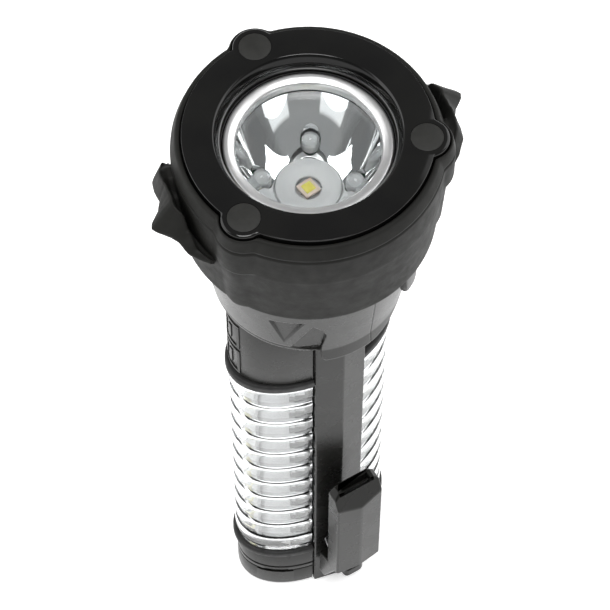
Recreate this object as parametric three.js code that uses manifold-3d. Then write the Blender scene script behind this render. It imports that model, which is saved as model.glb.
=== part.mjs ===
// Rescue torch: a round lamp head with magnets and two glass strikers, on an oval body with two
// clear side lamps, a strap cutter and four AA cells. Millimetres, +Z up, base centre at the origin.
import * as THREE from "three";
import { mergeVertices } from "three/addons/utils/BufferGeometryUtils.js";
import Module from "manifold-3d";

const wasm = await Module();
wasm.setup();

// ---- Driving dimensions ----
const GAP = 0.3; // clearance between neighbouring pieces
const LENGTH = 231; // base to bezel face
const HEAD_TURN = THREE.MathUtils.degToRad(-3.5); // head clocking against the body
const HEAD_SEGMENTS = 48;
const OVAL_SEGMENTS = 36;

const COLLAR = { radius: 35, foot: 33.6, low: 195.3, top: 229.8, bore: 31.2 };
const LUG = { circle: 29.7, boss: 7.5, shank: 6, ear: 5.8, magnet: 4.1, depth: 4.1, step: 215 };
const LUG_ANGLES = [-30, 90, 210];
const BEZEL = { radius: 32, thickness: 5, hole: 22.2, lip: 23.6 };
const RIM = { inner: 18.6, outer: 21.8, top: 226.1, low: 223 };
const MIRROR = { mouth: 19.2, mouthZ: 220.9, throat: 8.7, throatZ: 205.2, wall: 1.1, lip: 0.9 };
const SKIRT = { top: 219.4, low: 200.4, wall: 1 };
const LENS = 1.4; // thickness
const LED = { chip: 4.6, low: 204.2, turn: 9.5, board: 8.3 };
const AUX = { circle: 12, radius: 2.5, base: 201.6, shoulder: 209, hole: 2.85 };
const AUX_ANGLES = [60, 150, 240, 330];
const HOUSING = { outer: 30.9, wall: 2, low: 196, floor: 2, top: 225.7 };
const NECK = { top: 195.7, topRadius: 30.6, low: 165.7, lowRadius: 26.2, wall: 1.6 };
const TONGUE = { low: 159.3, radius: 26.5, wall: 2.2, from: -112, to: -46 };
const TAB = { inner: 27, outer: 31.2, low: 180.5, high: 193, from: -66, to: -57 };
const HEATSINK = { post: 9, fin: 11.6, flange: 198.3, low: 178, high: 202.2, fins: [180, 185, 190] };
const DRIVER = { radius: 14, low: 174.5, high: 175.7 };
const STRIKER = { rootRadius: 35.3, low: 196.5, crest: 224, tip: 44.5 };

const SLEEVE = { a: 24.3, b: 15, low: 131.7, high: 172, wall: 2.2 };
const BAND = { a: 25.6, b: 15.9, wall: 4 };
const WINDOW = { a: 24.8, b: 15.3, low: 24.2, high: 127.8, wall: 2.4, edge: 8.4 };
const RIBS = { count: 11, relief: 1.1 };
const LINER = { a: 18.1, b: 13.2, wall: 0.8 };
const SPINE = { half: 8, back: 14.2, edge: 15.6, ridge: 17.4, high: 165.4, web: 6, webBack: 9.3 };
const OFFSET = 1.2; // the spines and what they carry stand this far to the right of the middle
const TOE = { from: 1, to: 7.8, front: 20.2, high: 4.8 };
const SCREWS = [16, 122];
const CORE = { half: 15.1, radius: 7.6, wall: 1.4, low: 10.6, high: 122 };
const BASE = { a: 24.3, b: 15.4, split: 10, high: 20.7 };
const CELL = { radius: 7.1, length: 48.9, nub: 2.7, nubRise: 0.9, pitch: 15, first: 15.6, step: 50.4 };
const SPRING = { coil: 3.4, wire: 0.4, turns: 3, low: 12.2, high: 14.9 };
const BUTTON = { z: 148, half: 4.5, height: 8, back: 15, proud: 18.6, stem: 1.5 };
const HOOK = { half: 7.6, back: 22.3, front: 28.2, ridge: 29.4, low: 12, top: 77 };
const STRIP = { x: 18.5, half: 3.5, low: 27, high: 125, lamps: 10 };

// ---- Materials, shared by the pieces made of them ----
function finish(color, roughness, metalness = 0, extra = {}) {
  return new THREE.MeshStandardMaterial({ color, roughness, metalness, ...extra });
}
const MATERIALS = {
  rubber: finish(0x34352f, 0.85),
  gloss: finish(0x141411, 0.15),
  satin: finish(0x3c3d39, 0.45),
  housing: finish(0x2c2d2b, 0.6),
  seal: finish(0x161616, 0.9),
  clear: finish(0xf4f8fa, 0.05, 0, { transparent: true, opacity: 0.35 }),
  chrome: finish(0xe8eaec, 0.06, 1),
  steel: finish(0xb8bcc0, 0.3, 1),
  aluminium: finish(0xa8acb0, 0.4, 1),
  magnet: finish(0x2e2f2b, 0.75),
  white: finish(0xf0f0ec, 0.5),
  emitter: finish(0xf2d24a, 0.4),
  board: finish(0x1f5a35, 0.5),
  cell: finish(0x4a4f55, 0.35, 0.6),
  copper: finish(0xb87333, 0.35, 1),
  redWire: finish(0xa01818, 0.5),
  blackWire: finish(0x101010, 0.5),
};

// ---- Solids ----

// A closed geometry as a manifold-3d solid, with shared vertices merged and flat faces dropped.
function solid(geometry) {
  const source = geometry.index ? geometry.toNonIndexed() : geometry;
  const bare = new THREE.BufferGeometry();
  bare.setAttribute("position", source.getAttribute("position"));
  const merged = mergeVertices(bare, 1e-4);
  const index = merged.index.array;
  const kept = [];
  for (let i = 0; i < index.length; i += 3) {
    const [a, b, c] = [index[i], index[i + 1], index[i + 2]];
    if (a !== b && b !== c && c !== a) kept.push(a, b, c);
  }
  const mesh = new wasm.Mesh({
    numProp: 3,
    vertProperties: merged.attributes.position.array,
    triVerts: new Uint32Array(kept),
  });
  return new wasm.Manifold(mesh);
}

const join = (first, ...rest) => rest.reduce((sum, piece) => sum.add(piece), first);
const cut = (first, ...rest) => rest.reduce((left, piece) => left.subtract(piece), first);

// A profile of [radius, z] points turned about Z. A profile off the axis closes on itself.
function turned(profile, segments = HEAD_SEGMENTS) {
  const points = profile.map(([r, z]) => new THREE.Vector2(r, z));
  if (profile[0][0] > 0) points.push(points[0].clone());
  const area = THREE.ShapeUtils.area(points);
  if (area < 0) points.reverse();
  return solid(new THREE.LatheGeometry(points, segments).rotateX(Math.PI / 2));
}

function disc(radius, low, high, segments = HEAD_SEGMENTS) {
  return turned([[0, low], [radius, low], [radius, high], [0, high]], segments);
}

function ring(inner, outer, low, high, segments = HEAD_SEGMENTS) {
  return turned([[inner, low], [outer, low], [outer, high], [inner, high]], segments);
}

function oval(a, b, low, high) {
  const geometry = new THREE.CylinderGeometry(1, 1, high - low, OVAL_SEGMENTS);
  geometry.rotateX(Math.PI / 2);
  geometry.scale(a, b, 1);
  return solid(geometry.translate(0, 0, (low + high) / 2));
}

function ovalRing(a, b, wall, low, high) {
  return cut(oval(a, b, low, high), oval(a - wall, b - wall, low - 1, high + 1));
}

function box(x0, x1, y0, y1, z0, z1) {
  const geometry = new THREE.BoxGeometry(x1 - x0, y1 - y0, z1 - z0);
  return solid(geometry.translate((x0 + x1) / 2, (y0 + y1) / 2, (z0 + z1) / 2));
}

// A slot-shaped column: two half rounds of the given radius, half apart from the centre in X.
function slotColumn(half, radius, low, high) {
  const shape = new THREE.Shape();
  shape.absarc(half, 0, radius, -Math.PI / 2, Math.PI / 2);
  shape.absarc(-half, 0, radius, Math.PI / 2, (3 * Math.PI) / 2);
  const geometry = new THREE.ExtrudeGeometry(shape, {
    depth: high - low,
    bevelEnabled: false,
    curveSegments: 10,
  });
  return solid(geometry.translate(0, 0, low));
}

// A plan outline of [x, y] points raised from low to high.
function raised(outline, low, high) {
  const shape = new THREE.Shape(outline.map(([x, y]) => new THREE.Vector2(x, y)));
  const geometry = new THREE.ExtrudeGeometry(shape, { depth: high - low, bevelEnabled: false });
  return solid(geometry.translate(0, 0, low));
}

// A side outline of [y, z] points drawn out along X to both sides of the middle.
function acrossX(outline, half) {
  const shape = new THREE.Shape(outline.map(([y, z]) => new THREE.Vector2(y, z)));
  const geometry = new THREE.ExtrudeGeometry(shape, { depth: 2 * half, bevelEnabled: false });
  geometry.translate(0, 0, -half);
  return solid(geometry.rotateZ(Math.PI / 2).rotateY(Math.PI / 2));
}

// A round bar along Y, used for screws, stems and their holes.
function barY(radius, y0, y1, x, z, segments = 20) {
  const geometry = new THREE.CylinderGeometry(radius, radius, y1 - y0, segments);
  return solid(geometry.translate(x, (y0 + y1) / 2, z));
}

function shifted(body) {
  return body.translate([OFFSET, 0, 0]);
}

function polar(radius, degrees) {
  const angle = THREE.MathUtils.degToRad(degrees);
  return [radius * Math.cos(angle), radius * Math.sin(angle)];
}

const root = new THREE.Group();
const head = new THREE.Group();
head.rotation.z = HEAD_TURN;
root.add(head);

// Adds a solid to the model as one named mesh.
function piece(parent, name, material, body) {
  const data = body.getMesh();
  const positions = new Float32Array(data.numVert * 3);
  for (let i = 0; i < data.numVert; i++) {
    positions.set(data.vertProperties.subarray(i * data.numProp, i * data.numProp + 3), i * 3);
  }
  const geometry = new THREE.BufferGeometry();
  geometry.setAttribute("position", new THREE.BufferAttribute(positions, 3));
  geometry.setIndex(new THREE.BufferAttribute(data.triVerts, 1));
  const mesh = new THREE.Mesh(geometry, MATERIALS[material]);
  mesh.name = name;
  parent.add(mesh);
}

// ---- Head ----

// Columns of the same radius at the three lugs, for bosses, ears, pockets and magnets.
function lugColumns(radius, low, high) {
  return LUG_ANGLES.map((angle) => {
    const [x, y] = polar(LUG.circle, angle);
    return disc(radius, low, high, 24).translate([x, y, 0]);
  });
}

function makeCollar() {
  const { radius, foot, low, top, bore } = COLLAR;
  const seat = LENGTH - BEZEL.thickness - GAP;
  const shell = turned([[0, low], [foot, low], [radius, top - 4], [radius - 1.5, top], [0, top]]);
  const bosses = [...lugColumns(LUG.boss, LUG.step, top), ...lugColumns(LUG.shank, low, LUG.step)];
  const hollow = disc(bore, low - 1, top + 1);
  const plateSeat = disc(BEZEL.radius + GAP, seat, top + 1);
  const earSeats = lugColumns(LUG.ear + GAP, seat, top + 1);
  piece(head, "collar", "rubber", cut(join(shell, ...bosses), hollow, plateSeat, ...earSeats));
}

function makeBezel() {
  const low = LENGTH - BEZEL.thickness;
  const plate = join(disc(BEZEL.radius, low, LENGTH), ...lugColumns(LUG.ear, low, LENGTH));
  const { hole, lip } = BEZEL;
  const mouth = turned([
    [0, low - 1], [hole, low - 1], [hole, low + 2],
    [lip, LENGTH], [lip, LENGTH + 1], [0, LENGTH + 1],
  ]);
  const pockets = lugColumns(LUG.magnet + GAP, LENGTH - LUG.depth - GAP, LENGTH + 1);
  piece(head, "bezel_plate", "gloss", cut(plate, mouth, ...pockets));
  lugColumns(LUG.magnet, LENGTH - LUG.depth, LENGTH).forEach((magnet, i) => {
    piece(head, `magnet_${i + 1}`, "magnet", magnet);
  });
}

function makeOptics() {
  const lensTop = RIM.low - GAP;
  const lensLow = lensTop - LENS;
  const sealInner = MIRROR.mouth + MIRROR.lip + GAP;
  piece(head, "chrome_ring", "chrome", ring(RIM.inner, RIM.outer, RIM.low, RIM.top));
  piece(head, "lens", "clear", disc(RIM.outer, lensLow, lensTop));
  piece(head, "lens_seal", "seal", ring(sealInner, RIM.outer, SKIRT.top + GAP, lensLow - GAP, 40));
  piece(head, "reflector", "chrome", makeReflector());
}

// A paraboloid cup whose mirror face runs from the throat to the mouth, with an outer skirt.
function makeReflector() {
  const { mouth, mouthZ, throat, throatZ, wall, lip } = MIRROR;
  const slope = (mouthZ - throatZ) / (mouth ** 2 - throat ** 2);
  const face = (r) => throatZ + slope * (r * r - throat * throat);
  const inner = [throat, 11.5, 15, mouth].map((r) => [r, face(r)]);
  const outer = [17.5, 15, 11.5, throat].map((r) => [r + wall, face(r) - 0.6]);
  const skirtInner = RIM.outer - SKIRT.wall;
  const skirt = [
    [mouth + lip, mouthZ], [mouth + lip, SKIRT.top], [RIM.outer, SKIRT.top],
    [RIM.outer, SKIRT.low], [skirtInner, SKIRT.low], [skirtInner, SKIRT.top - 1],
  ];
  const cup = turned([...inner, ...skirt, ...outer]);
  return cut(cup, ...auxColumns(AUX.hole, throatZ - 3, mouthZ + 1));
}

// Upright columns on the four auxiliary lamps' circle.
function auxColumns(radius, low, high) {
  return AUX_ANGLES.map((angle) => {
    const [x, y] = polar(AUX.circle, angle);
    return disc(radius, low, high, 12).translate([x, y, 0]);
  });
}

function makeLamps() {
  const { radius, base, shoulder } = AUX;
  auxColumns(radius, base, shoulder).forEach((column, i) => {
    const [x, y] = polar(AUX.circle, AUX_ANGLES[i]);
    const profile = [
      [0, shoulder], [radius, shoulder], [radius * 0.8, shoulder + 1.5], [0, shoulder + radius],
    ];
    const dome = turned(profile, 12).translate([x, y, 0]);
    piece(head, `aux_led_${i + 1}`, "clear", join(column, dome));
  });
  const { chip, low, turn, board } = LED;
  const slab = box(-chip / 2, chip / 2, -chip / 2, chip / 2, low, low + 0.9);
  const lens = turned([[0, low + 0.8], [1.9, low + 0.8], [1.6, low + 1.5], [0, low + 1.8]], 16);
  piece(head, "main_led", "emitter", join(slab, lens).rotate([0, 0, turn]));
  const profile = [
    [3.7, low], [board, low], [board, low + 1.2], [board - 2.1, low + 2], [3.7, low + 0.8],
  ];
  piece(head, "led_ring", "white", turned(profile, 40));
  piece(head, "led_board", "aluminium", disc(board, low - GAP - 1.4, low - GAP, 40));
  piece(head, "aux_led_board", "board", ring(board + 1, 18, base - 1.5, base - GAP, 40));
}

function makeHeatsink() {
  const { post, fin, flange, low, high, fins } = HEATSINK;
  const plate = disc(RIM.outer, flange, flange + 1.5, 36);
  const column = disc(post, low, high, 24);
  const discs = fins.map((z) => disc(fin, z, z + 2, 24));
  piece(head, "heatsink", "aluminium", join(column, plate, ...discs));
}

function makeDriver() {
  piece(head, "driver_board", "board", disc(DRIVER.radius, DRIVER.low, DRIVER.high, 32));
}

function makeHousing() {
  const { outer, wall, low, floor, top } = HOUSING;
  const deck = RIM.low - GAP;
  const port = HEATSINK.fin + 0.6;
  const profile = [
    [port, low], [outer, low], [outer, top], [RIM.outer + GAP, top],
    [RIM.outer + GAP, deck], [outer - wall, deck - 2], [outer - wall, low + floor], [port, low + floor],
  ];
  piece(head, "head_housing", "housing", turned(profile));
}

// A spiked fin that wraps part of the collar: a turned wedge trimmed to its plan outline.
function makeStriker(name, turn) {
  const { rootRadius, low, crest, tip } = STRIKER;
  const wedge = turned([
    [rootRadius, low], [rootRadius, low + 8], [37.8, low + 9], [38, crest - 1], [39, crest],
    [tip, 217.5], [40.5, 211], [37.8, 204], [36.2, low],
  ], 96);
  const outline = [
    [-27, 34], [-27, 36], [-23, 38.6], [-18, 40.2], [-14, 40.2], [-9, 39.6], [-5, 41],
    [-1.2, 44], [0, tip + 0.2], [1.2, 44], [5, 41.6], [10, 40], [16, 38.2], [20, 36], [20, 34],
  ];
  const plan = raised(outline.map(([angle, radius]) => polar(radius, angle)), low - 1, crest + 1);
  const fin = wedge.intersect(plan).rotate([0, 0, turn]);
  piece(head, name, "rubber", cut(fin, ...lugColumns(LUG.boss + GAP, low - 1, crest + 1)));
}

// ---- Neck ----

// A round cone with an oval hole in its floor and a tongue that hangs in front of the spine.
function makeNeck() {
  const { top, topRadius, low, lowRadius, wall } = NECK;
  const outer = turned([[0, low], [lowRadius, low], [topRadius, top], [0, top]]);
  const hollow = turned([
    [0, low + 2], [lowRadius - wall, low + 2], [topRadius - 2, top + 0.01], [0, top + 0.01],
  ]);
  const hole = oval(SLEEVE.a + GAP, SLEEVE.b + GAP, low - 1, low + 3);
  const shell = cut(outer, hollow, hole);
  piece(root, "neck", "satin", join(shell, makeTongue(), makeTab()));
}

function sector(radius, from, to, low, high) {
  const steps = 8;
  const outline = [[0, 0]];
  for (let i = 0; i <= steps; i++) outline.push(polar(radius, from + ((to - from) * i) / steps));
  return raised(outline, low, high);
}

function makeTongue() {
  const { low, radius, wall, from, to } = TONGUE;
  const high = NECK.low + 3;
  return ring(radius - wall, radius, low, high).intersect(sector(2 * radius, from, to, low, high));
}

function makeTab() {
  const { inner, outer, low, high, from, to } = TAB;
  return ring(inner, outer, low, high).intersect(sector(2 * outer, from, to, low, high));
}

// ---- Body ----

// The two channels that the front and back spines sit in.
function spineChannels(low, high) {
  const edge = SPINE.half + GAP;
  const depth = SPINE.back - GAP;
  return [-1, 1].map((side) => {
    const [near, far] = side < 0 ? [-40, -depth] : [depth, 40];
    return shifted(box(-edge, edge, near, far, low - 1, high + 1));
  });
}

function makeSleeve() {
  const { a, b, low, high, wall } = SLEEVE;
  const shell = cut(ovalRing(a, b, wall, low, high), ...spineChannels(low, high));
  const stemHole = shifted(barY(BUTTON.stem + 0.5, 5, 20, 0, BUTTON.z));
  piece(root, "upper_sleeve", "satin", cut(shell, stemHole));
}

function makeBands() {
  const { a, b, wall } = BAND;
  [["upper_gasket", 128.1, 131.4], ["lower_gasket", 21, 23.9]].forEach(([name, low, high]) => {
    piece(root, name, "seal", cut(ovalRing(a, b, wall, low, high), ...spineChannels(low, high)));
  });
}

// A ribbed clear cover of an oval body, one on each side of the spines.
function makeWindows() {
  const { a, b, low, high, wall, edge } = WINDOW;
  const { count, relief } = RIBS;
  const pitch = (high - low) / count;
  const outline = [[a - wall, low], [a, low]];
  for (let i = 0; i < count; i++) {
    const top = low + (i + 1) * pitch;
    outline.push([a - relief, top - 0.8]);
    if (i < count - 1) outline.push([a, top]);
  }
  outline.push([a - wall, high]);
  const tube = turned(outline, OVAL_SEGMENTS).scale([1, b / a, 1]);
  piece(root, "window_left", "clear", tube.intersect(box(-40, OFFSET - edge, -20, 20, low, high)));
  piece(root, "window_right", "clear", tube.intersect(box(OFFSET + edge, 40, -20, 20, low, high)));
}

// A white liner behind each window, and a strip of small lamps standing on it.
function makeSideLamps() {
  const low = WINDOW.low + 1;
  const high = WINDOW.high - 1;
  const liner = ovalRing(LINER.a, LINER.b, LINER.wall, low, high);
  [["left", -1], ["right", 1]].forEach(([side, sign]) => {
    const [near, far] = sign < 0 ? [-40, OFFSET - WINDOW.edge] : [OFFSET + WINDOW.edge, 40];
    const half = liner.intersect(box(near, far, -20, 20, low, high));
    piece(root, `side_reflector_${side}`, "white", half);
    piece(root, `led_strip_${side}`, "board", makeStrip(sign));
  });
}

function makeStrip(sign) {
  const { x, half, low, high, lamps } = STRIP;
  const span = (x0, x1, y, z0, z1) => {
    const sides = [sign * x0, sign * x1];
    return box(Math.min(...sides), Math.max(...sides), -y, y, z0, z1);
  };
  const board = span(x, x + 1, half, low, high);
  const pitch = (high - low) / lamps;
  const chips = Array.from({ length: lamps }, (_, i) => {
    const z = low + (i + 0.5) * pitch;
    return span(x + 0.9, x + 1.9, 1.5, z - 1.5, z + 1.5);
  });
  return join(board, ...chips);
}

// A long keel-shaped strip on the front or back, with a web that reaches in between the windows.
// The front one has a small toe at its foot.
function makeSpine(side) {
  const { half, back, edge, ridge, high, web, webBack } = SPINE;
  const low = GAP;
  const outline = [[-half, -edge], [0, -ridge], [half, -edge], [half, -back], [-half, -back]];
  const keel = raised(outline, low, high);
  const rib = box(-web, web, -back - 0.5, -webBack, WINDOW.low, WINDOW.high);
  const strip = join(keel, rib);
  if (side === "back") return strip.rotate([0, 0, 180]);
  return join(strip, box(TOE.from, TOE.to, -TOE.front, -back - 0.5, low, TOE.high));
}

function makeSpines() {
  piece(root, "front_spine", "satin", shifted(makeSpine("front")));
  const screwHoles = SCREWS.map((z) => barY(2.9, 15, 20, 0, z));
  const buttonHole = buttonBlock(BUTTON.half + GAP, BUTTON.height + GAP, 10, 25);
  piece(root, "back_spine", "satin", shifted(cut(makeSpine("back"), buttonHole, ...screwHoles)));
}

// ---- Switch, screws and boards ----

function buttonBlock(half, height, y0, y1) {
  const shape = new THREE.Shape();
  shape.absarc(0, height - half, half, 0, Math.PI);
  shape.absarc(0, half - height, half, Math.PI, 2 * Math.PI);
  const settings = { depth: y1 - y0, bevelEnabled: false, curveSegments: 8 };
  const geometry = new THREE.ExtrudeGeometry(shape, settings).rotateX(Math.PI / 2);
  return solid(geometry.translate(0, y1, BUTTON.z));
}

function makeSwitch() {
  const pad = buttonBlock(BUTTON.half, BUTTON.height, BUTTON.back, BUTTON.proud);
  const stem = barY(BUTTON.stem, 12.6, BUTTON.back + 0.5, 0, BUTTON.z, 16);
  const tact = box(-3, 3, 6.9, 11.3, BUTTON.z - 3, BUTTON.z + 3);
  piece(root, "power_button", "rubber", shifted(join(pad, stem)));
  piece(root, "tact_switch", "housing", shifted(tact));
  piece(root, "control_board", "board", box(-12, 12, 5, 6.6, 124, 164));
}

// Pan-head screws that hold the back spine to the core.
function makeScrews() {
  SCREWS.forEach((z, i) => {
    const pan = barY(2.5, 15.3, 16.6, 0, z);
    const across = box(-1.6, 1.6, 16, 17, z - 0.3, z + 0.3);
    const upright = box(-0.3, 0.3, 16, 17, z - 1.6, z + 1.6);
    piece(root, `back_screw_${i + 1}`, "steel", shifted(cut(pan, join(across, upright))));
  });
}

// ---- Core, cells and contacts ----

function makeCore() {
  const { half, radius, wall, low, high } = CORE;
  const reach = half - radius;
  const shell = slotColumn(reach, radius + wall, low, high);
  const bore = slotColumn(reach, radius, low - 1, high - 1.5);
  const wirePort = disc(2.2, high - 3, high + 1, 16);
  piece(root, "battery_tube", "housing", cut(shell, bore, wirePort));
}

function makeCells() {
  const { radius, length, nub, nubRise, pitch, first, step } = CELL;
  [-1, 1].forEach((column) => {
    [0, 1].forEach((row) => {
      const z = first + row * step;
      const top = z + length;
      const profile = [
        [0, z], [radius, z], [radius, top], [nub, top], [nub, top + nubRise], [0, top + nubRise],
      ];
      const name = `cell_${column < 0 ? "left" : "right"}_${row ? "upper" : "lower"}`;
      piece(root, name, "cell", turned(profile, 24).translate([(column * pitch) / 2, 0, 0]));
    });
  });
}

// A round wire wound up a helix of constant radius.
function makeSpring(x) {
  const { coil, wire, turns, low, high } = SPRING;
  class Helix extends THREE.Curve {
    getPoint(t, target = new THREE.Vector3()) {
      const angle = t * turns * 2 * Math.PI;
      const z = low + (high - low) * t;
      return target.set(coil * Math.cos(angle), coil * Math.sin(angle), z);
    }
  }
  const section = new THREE.Shape();
  section.absarc(0, 0, wire, 0, 2 * Math.PI);
  const settings = { steps: 42, extrudePath: new Helix(), curveSegments: 3, bevelEnabled: false };
  return solid(new THREE.ExtrudeGeometry(section, settings)).translate([x, 0, 0]);
}

function makeContacts() {
  const top = CELL.first + 2 * CELL.step + 0.6;
  const board = slotColumn(CORE.half - CORE.radius, CORE.radius - GAP, top, top + 1.2);
  piece(root, "top_contact_board", "board", board);
  const strap = slotColumn(CORE.half - CORE.radius, CORE.radius - 1.6, 10.9, 11.5);
  piece(root, "bottom_contact_strap", "copper", strap);
  [["left", -1], ["right", 1]].forEach(([side, sign]) => {
    piece(root, `contact_spring_${side}`, "steel", makeSpring((sign * CELL.pitch) / 2));
  });
}

// ---- Base ----

function makeBase() {
  const { a, b, split, high } = BASE;
  const hole = slotColumn(CORE.half - CORE.radius, CORE.radius + CORE.wall + GAP, split, high + 1);
  const skirt = cut(oval(a, b, split + GAP, high), hole, ...spineChannels(split, high));
  piece(root, "base_ring", "satin", skirt);
  const plug = slotColumn(CORE.half - CORE.radius, CORE.radius - 0.4, split - 1, split + 0.6);
  const groove = ovalRing(21.8, 12.9, 1.8, split - 1.4, split + 1);
  const notch = box(-20, -8.6, -20, -10.5, split - 2, split + 1);
  const cap = cut(oval(a, b, 0, split), groove, notch, ...spineChannels(0, split));
  piece(root, "base_cap", "satin", join(cap, plug));
  piece(root, "cap_seal", "seal", ovalRing(21.5, 12.6, 1.2, split - 1.1, split));
}

// ---- Strap cutter ----

// A guard that stands off the spine on a foot, with a ridge down its face and a pocket in its top.
function makeHook() {
  const { half, back, front, ridge, low, top } = HOOK;
  const foot = SPINE.ridge + GAP;
  const side = acrossX([
    [-foot, low], [-foot, 25], [-back, 27], [-back, top],
    [-25, top], [-front - 2, 64], [-front - 2, 27.5], [-20.5, low],
  ], half);
  const outline = [[-half, -10], [-half, -front], [0, -ridge], [half, -front], [half, -10]];
  const plan = raised(outline, low - 1, top + 1);
  const pocket = box(-4.9, 4.9, -26.2, -23.6, top - 12, top + 1);
  piece(root, "cutter_guard", "satin", shifted(cut(side.intersect(plan), pocket)));
  const blade = acrossX([[-21.8, 28], [-21, 27.7], [-17.8, 31.8], [-17.8, 33]], 5.8);
  piece(root, "cutter_blade", "steel", shifted(blade));
}

// ---- Wires from the core to the head ----

function makeWire(name, material, x) {
  const points = [[x, -1, 123], [x, 0, 136], [x * 2, -4, 152], [x * 2, -2, 174.2]];
  const path = new THREE.CatmullRomCurve3(points.map((p) => new THREE.Vector3(...p)));
  const section = new THREE.Shape();
  section.absarc(0, 0, 0.7, 0, 2 * Math.PI);
  const settings = { steps: 16, extrudePath: path, curveSegments: 3, bevelEnabled: false };
  piece(root, name, material, solid(new THREE.ExtrudeGeometry(section, settings)));
}

makeCollar();
makeBezel();
makeOptics();
makeLamps();
makeHeatsink();
makeDriver();
makeHousing();
makeStriker("striker_right", 0);
makeStriker("striker_left", 180);
makeNeck();
makeSleeve();
makeBands();
makeWindows();
makeSideLamps();
makeSpines();
makeSwitch();
makeScrews();
makeCore();
makeCells();
makeContacts();
makeBase();
makeHook();
makeWire("wire_red", "redWire", 2.3);
makeWire("wire_black", "blackWire", -2.3);

export default root;
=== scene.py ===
import math

import bmesh
import bpy
from mathutils import Matrix, Vector


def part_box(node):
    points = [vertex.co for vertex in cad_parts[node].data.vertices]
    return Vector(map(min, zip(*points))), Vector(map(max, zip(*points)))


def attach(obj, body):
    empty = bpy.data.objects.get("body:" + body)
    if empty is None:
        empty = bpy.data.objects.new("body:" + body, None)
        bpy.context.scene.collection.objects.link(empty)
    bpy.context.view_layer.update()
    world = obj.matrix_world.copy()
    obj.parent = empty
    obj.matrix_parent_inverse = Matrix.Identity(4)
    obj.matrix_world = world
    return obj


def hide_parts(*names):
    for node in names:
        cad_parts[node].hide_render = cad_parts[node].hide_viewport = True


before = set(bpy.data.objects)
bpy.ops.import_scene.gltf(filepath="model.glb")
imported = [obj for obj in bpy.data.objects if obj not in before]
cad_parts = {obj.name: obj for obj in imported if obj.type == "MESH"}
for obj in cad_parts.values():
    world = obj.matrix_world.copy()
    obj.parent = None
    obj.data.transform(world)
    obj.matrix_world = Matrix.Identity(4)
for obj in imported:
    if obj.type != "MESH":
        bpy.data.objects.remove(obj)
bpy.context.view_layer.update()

MM = 0.001


def levels(node):
    """The lowest and highest z of a CAD node, in millimetres."""
    low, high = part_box(node)
    return low.z / MM, high.z / MM


# ---- Driving sizes, in millimetres and degrees ----

HEAD_TURN = -3.5
LUG_ANGLES = (-30, 90, 210)
LUG_CIRCLE = 29.7
BASE_LOW, CAP_TOP = 0, 10
COLLAR_LOW, COLLAR_TOP = levels("collar")
PLATE_LOW, FACE = levels("bezel_plate")
SLEEVE_LOW, SLEEVE_TOP = levels("upper_sleeve")
WINDOW_LOW, WINDOW_TOP = levels("window_left")
SPINE_LOW, SPINE_TOP = levels("front_spine")
OFFSET = 1.2  # the spines stand this far to the right of the middle
CHANNEL_HALF = 8.3
GAP = 0.3  # between the button and the hole it moves in
SLEEVE_OVAL = 24.3, 15.0
BAND_OVAL = 25.6, 15.9
WINDOW_OVAL = 24.8, 15.3
LINER_OVAL = 18.1, 13.2
BASE_OVAL = 24.3, 15.4
OVAL_STEPS = 240
LOBED_STEPS = 720
CREASE = 35  # an edge sharper than this stays sharp


# ---- Meshes ----

def build(name, points, faces, turn=0.0, crease=CREASE):
    """Points in millimetres become one smooth-shaded object in the frame's metres."""
    mesh = bpy.data.meshes.new(name)
    mesh.from_pydata([Vector(p) * MM for p in points], [], faces)
    mesh.transform(Matrix.Rotation(math.radians(turn), 4, "Z"))
    shape = bmesh.new()
    shape.from_mesh(mesh)
    bmesh.ops.recalc_face_normals(shape, faces=shape.faces)
    shape.to_mesh(mesh)
    shape.free()
    mesh.shade_smooth()
    mesh.set_sharp_from_angle(angle=math.radians(crease))
    obj = bpy.data.objects.new(name, mesh)
    bpy.context.collection.objects.link(obj)
    return obj


def skin(rows, wrap=False, caps=False):
    """Faces between rows of points. A row of one point is a pole."""
    points = [p for row in rows for p in row]
    starts = [sum(len(row) for row in rows[:i]) for i in range(len(rows))]
    count = max(len(row) for row in rows)
    pairs = list(zip(range(len(rows) - 1), range(1, len(rows))))
    if wrap:
        pairs.append((len(rows) - 1, 0))
    faces = []
    for a, b in pairs:
        for i in range(count):
            j = (i + 1) % count
            if len(rows[a]) == 1:
                faces.append((starts[a], starts[b] + j, starts[b] + i))
            elif len(rows[b]) == 1:
                faces.append((starts[a] + i, starts[a] + j, starts[b]))
            else:
                faces.append((starts[a] + i, starts[a] + j, starts[b] + j, starts[b] + i))
    if caps:
        faces.append(tuple(range(count)))
        faces.append(tuple(starts[-1] + i for i in range(count)))
    return points, faces


def rounded(corners, steps=4):
    """A closed line of corners whose last value is how far each corner is rounded off."""
    line = []
    count = len(corners)
    for i, corner in enumerate(corners):
        here, reach = Vector(corner[:-1]), corner[-1]
        if reach == 0:
            line.append(here)
            continue
        before = Vector(corners[i - 1][:-1]) - here
        after = Vector(corners[(i + 1) % count][:-1]) - here
        start = here + before.normalized() * min(reach, before.length * 0.49)
        end = here + after.normalized() * min(reach, after.length * 0.49)
        for step in range(steps + 1):
            t = step / steps
            line.append(start * (1 - t) ** 2 + here * 2 * t * (1 - t) + end * t * t)
    return line


def turned(corners, segments=180):
    """A closed profile of (radius, z, rounding) corners turned about Z."""
    rows = [circle(p[0], p[1], segments) for p in rounded(corners)]
    return skin(rows, wrap=True)


def circle(radius, z, segments=180, centre=(0, 0)):
    step = math.tau / segments
    return [
        (centre[0] + radius * math.cos(i * step), centre[1] + radius * math.sin(i * step), z)
        for i in range(segments)
    ]


def polar(radius, degrees):
    angle = math.radians(degrees)
    return radius * math.cos(angle), radius * math.sin(angle)


def smooth_step(value, low, high):
    t = min(max((value - low) / (high - low), 0), 1)
    return t * t * (3 - 2 * t)


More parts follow.
